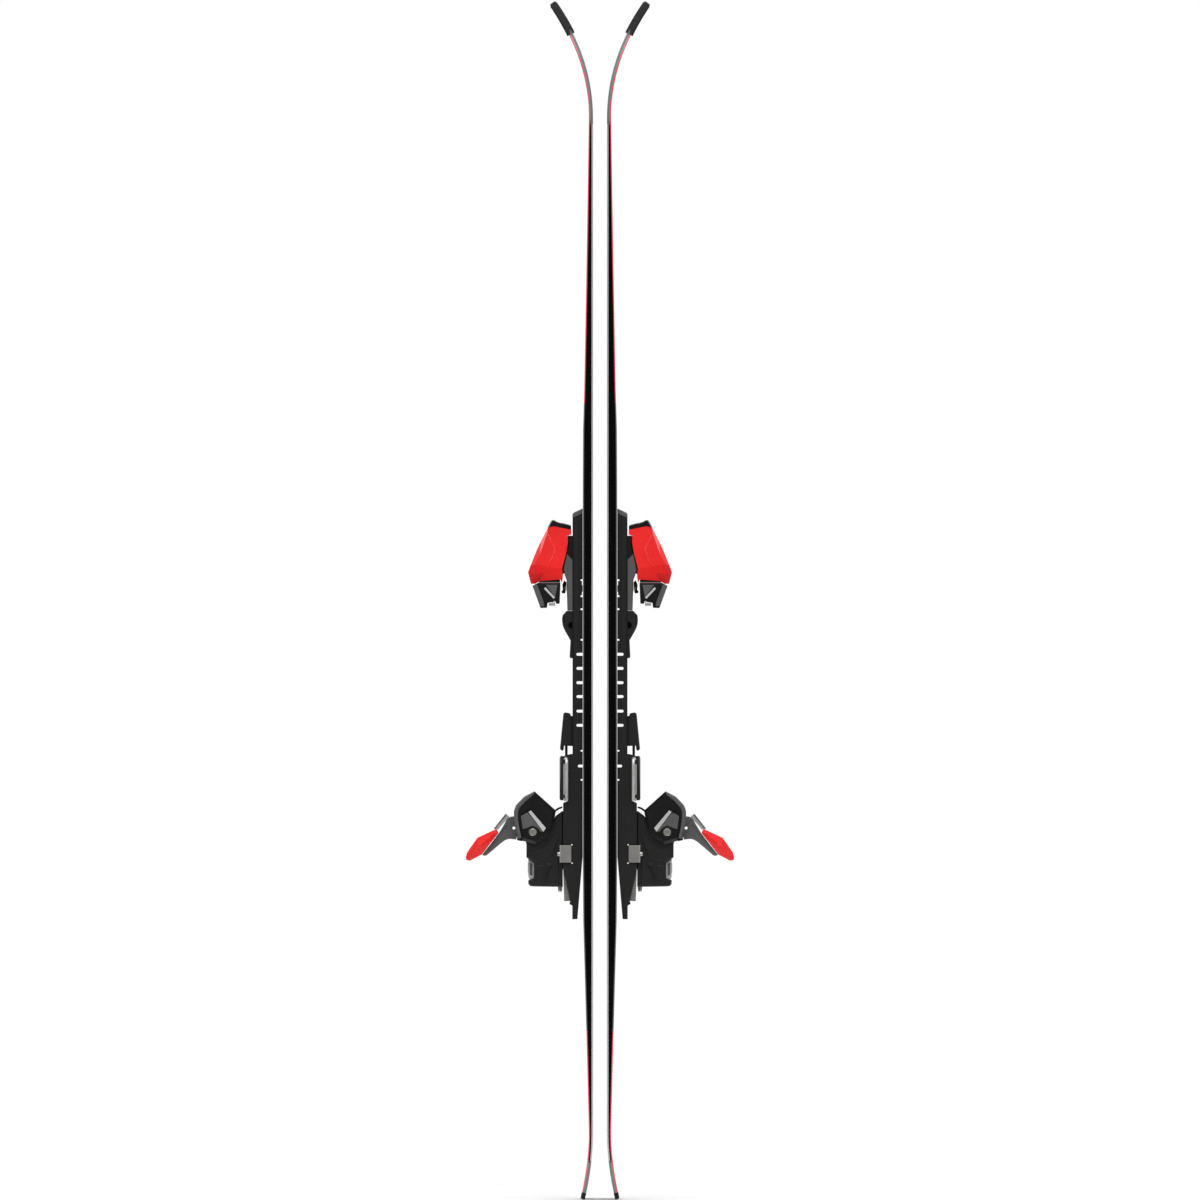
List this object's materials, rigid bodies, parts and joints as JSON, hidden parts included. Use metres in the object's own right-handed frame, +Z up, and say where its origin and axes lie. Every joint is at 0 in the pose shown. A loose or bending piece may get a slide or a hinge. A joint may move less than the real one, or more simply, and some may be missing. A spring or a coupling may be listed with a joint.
{
  "type": "pair of alpine skis with bindings",
  "caption": "Pair of carving skis standing base to base, each with an interface plate, a toe piece, a heel piece with an opening lever, and a ski brake.",
  "frame": {"origin": "on the floor, midway between the two skis' running surfaces", "axes": "+Z up along the skis to the tips, +X from the left ski to the right ski, Y across each ski"},
  "size_m": [0.3698, 0.12, 1.6502],
  "materials": {
    "laminate": "satin fibreglass laminate, grey-green",
    "running_base": "waxed sintered base with fine stone-ground lines",
    "edge_steel": "ground steel edge",
    "sidewall": "black sidewall, semi gloss",
    "topsheet": "black lacquered topsheet with a red to pink border line",
    "guard_plastic": "textured black plastic",
    "black_plastic": "moulded glass-filled nylon, fine grain",
    "gloss_black": "moulded black plastic, semi gloss",
    "grey_plastic": "moulded dark grey plastic",
    "light_grey": "satin silver-grey painted insert",
    "red_plastic": "glossy signal red moulded plastic",
    "glide_plastic": "low-friction plastic",
    "steel": "zinc-plated steel"
  },
  "bodies": {
    "left_ski": {"left_core": "laminate", "left_base": "running_base", "left_steel_edge": "edge_steel", "left_sidewall_a": "sidewall", "left_sidewall_b": "sidewall", "left_topsheet": "topsheet", "left_tip_guard": "guard_plastic", "left_tail_guard": "guard_plastic", "left_plate": "black_plastic", "left_plate_nose": "grey_plastic", "left_toe_base": "grey_plastic", "left_toe_housing": "red_plastic", "left_toe_nose_cap": "gloss_black", "left_toe_spring": "steel", "left_toe_rest": "black_plastic", "left_heel_rail": "steel"},
    "left_toe_jaw_a": {"left_toe_jaw_a": "grey_plastic"},
    "left_toe_jaw_b": {"left_toe_jaw_b": "grey_plastic"},
    "left_toe_screw": {"left_toe_screw": "steel"},
    "left_glide_pad": {"left_glide_pad": "glide_plastic"},
    "left_heel": {"left_heel_block": "steel", "left_heel_body": "black_plastic", "left_heel_axle": "steel", "left_heel_spring": "steel"},
    "left_heel_screw": {"left_heel_screw": "steel"},
    "left_heel_cup": {"left_heel_cup": "gloss_black"},
    "left_heel_lever": {"left_heel_lever": "grey_plastic", "left_lever_pad": "red_plastic"},
    "left_brake": {"left_brake_arms": "steel", "left_brake_pedal": "black_plastic"},
    "right_ski": {"right_core": "laminate", "right_base": "running_base", "right_steel_edge": "edge_steel", "right_sidewall_a": "sidewall", "right_sidewall_b": "sidewall", "right_topsheet": "topsheet", "right_tip_guard": "guard_plastic", "right_tail_guard": "guard_plastic", "right_plate": "black_plastic", "right_plate_nose": "grey_plastic", "right_toe_base": "grey_plastic", "right_toe_housing": "red_plastic", "right_toe_nose_cap": "gloss_black", "right_toe_spring": "steel", "right_toe_rest": "black_plastic", "right_heel_rail": "steel"},
    "right_toe_jaw_a": {"right_toe_jaw_a": "grey_plastic"},
    "right_toe_jaw_b": {"right_toe_jaw_b": "grey_plastic"},
    "right_toe_screw": {"right_toe_screw": "steel"},
    "right_glide_pad": {"right_glide_pad": "glide_plastic"},
    "right_heel": {"right_heel_block": "steel", "right_heel_body": "black_plastic", "right_heel_axle": "steel", "right_heel_spring": "steel"},
    "right_heel_screw": {"right_heel_screw": "steel"},
    "right_heel_cup": {"right_heel_cup": "gloss_black"},
    "right_heel_lever": {"right_heel_lever": "grey_plastic", "right_lever_pad": "red_plastic"},
    "right_brake": {"right_brake_arms": "steel", "right_brake_pedal": "black_plastic"}
  },
  "joints": [
    {"name": "pair_apart", "type": "slide", "parent": "left_ski", "child": "right_ski", "axis": [1, 0, 0], "range_m": [0, 0.25]},
    {"name": "left_jaw_a_opens", "type": "hinge", "parent": "left_ski", "child": "left_toe_jaw_a", "pos_m": [-0.0696, -0.03, 0.848], "axis": [-1, 0, 0], "range_deg": [0, 20], "stiffness_Nm_per_rad": 40, "springref_deg": -5.73},
    {"name": "left_jaw_b_opens", "type": "hinge", "parent": "left_ski", "child": "left_toe_jaw_b", "pos_m": [-0.0696, 0.03, 0.848], "axis": [1, 0, 0], "range_deg": [0, 20], "stiffness_Nm_per_rad": 40, "springref_deg": -5.73},
    {"name": "left_toe_screw_turns", "type": "hinge", "parent": "left_ski", "child": "left_toe_screw", "pos_m": [-0.0606, 0, 0.927], "axis": [0, 0, 1], "continuous": true},
    {"name": "left_glide_pad_slides", "type": "slide", "parent": "left_ski", "child": "left_glide_pad", "axis": [0, -1, 0], "range_m": [-0.007, 0.007], "stiffness_N_per_m": 2000},
    {"name": "left_heel_moves_back", "type": "slide", "parent": "left_ski", "child": "left_heel", "axis": [0, 0, -1], "range_m": [0, 0.007], "stiffness_N_per_m": 20000, "springref_m": -0.005},
    {"name": "left_heel_screw_turns", "type": "hinge", "parent": "left_heel", "child": "left_heel_screw", "pos_m": [-0.0716, 0, 0.432], "axis": [0, 0, 1], "continuous": true},
    {"name": "left_heel_cup_opens", "type": "hinge", "parent": "left_heel", "child": "left_heel_cup", "pos_m": [-0.0925, 0, 0.5052], "axis": [0, -1, 0], "range_deg": [0, 35]},
    {"name": "left_lever_presses", "type": "hinge", "parent": "left_heel_cup", "child": "left_heel_lever", "pos_m": [-0.1136, 0, 0.512], "axis": [0, -1, 0], "range_deg": [0, 15]},
    {"name": "left_brake_drops", "type": "hinge", "parent": "left_ski", "child": "left_brake", "pos_m": [-0.0464, 0, 0.606], "axis": [0, -1, 0], "range_deg": [0, 62]},
    {"name": "right_jaw_a_opens", "type": "hinge", "parent": "right_ski", "child": "right_toe_jaw_a", "pos_m": [0.0696, 0.03, 0.848], "axis": [1, 0, 0], "range_deg": [0, 20], "stiffness_Nm_per_rad": 40, "springref_deg": -5.73},
    {"name": "right_jaw_b_opens", "type": "hinge", "parent": "right_ski", "child": "right_toe_jaw_b", "pos_m": [0.0696, -0.03, 0.848], "axis": [-1, 0, 0], "range_deg": [0, 20], "stiffness_Nm_per_rad": 40, "springref_deg": -5.73},
    {"name": "right_toe_screw_turns", "type": "hinge", "parent": "right_ski", "child": "right_toe_screw", "pos_m": [0.0606, 0, 0.927], "axis": [0, 0, 1], "continuous": true},
    {"name": "right_glide_pad_slides", "type": "slide", "parent": "right_ski", "child": "right_glide_pad", "axis": [0, 1, 0], "range_m": [-0.007, 0.007], "stiffness_N_per_m": 2000},
    {"name": "right_heel_moves_back", "type": "slide", "parent": "right_ski", "child": "right_heel", "axis": [0, 0, -1], "range_m": [0, 0.007], "stiffness_N_per_m": 20000, "springref_m": -0.005},
    {"name": "right_heel_screw_turns", "type": "hinge", "parent": "right_heel", "child": "right_heel_screw", "pos_m": [0.0716, 0, 0.432], "axis": [0, 0, 1], "continuous": true},
    {"name": "right_heel_cup_opens", "type": "hinge", "parent": "right_heel", "child": "right_heel_cup", "pos_m": [0.0925, 0, 0.5052], "axis": [0, 1, 0], "range_deg": [0, 35]},
    {"name": "right_lever_presses", "type": "hinge", "parent": "right_heel_cup", "child": "right_heel_lever", "pos_m": [0.1136, 0, 0.512], "axis": [0, 1, 0], "range_deg": [0, 15]},
    {"name": "right_brake_drops", "type": "hinge", "parent": "right_ski", "child": "right_brake", "pos_m": [0.0464, 0, 0.606], "axis": [0, 1, 0], "range_deg": [0, 62]}
  ]
}
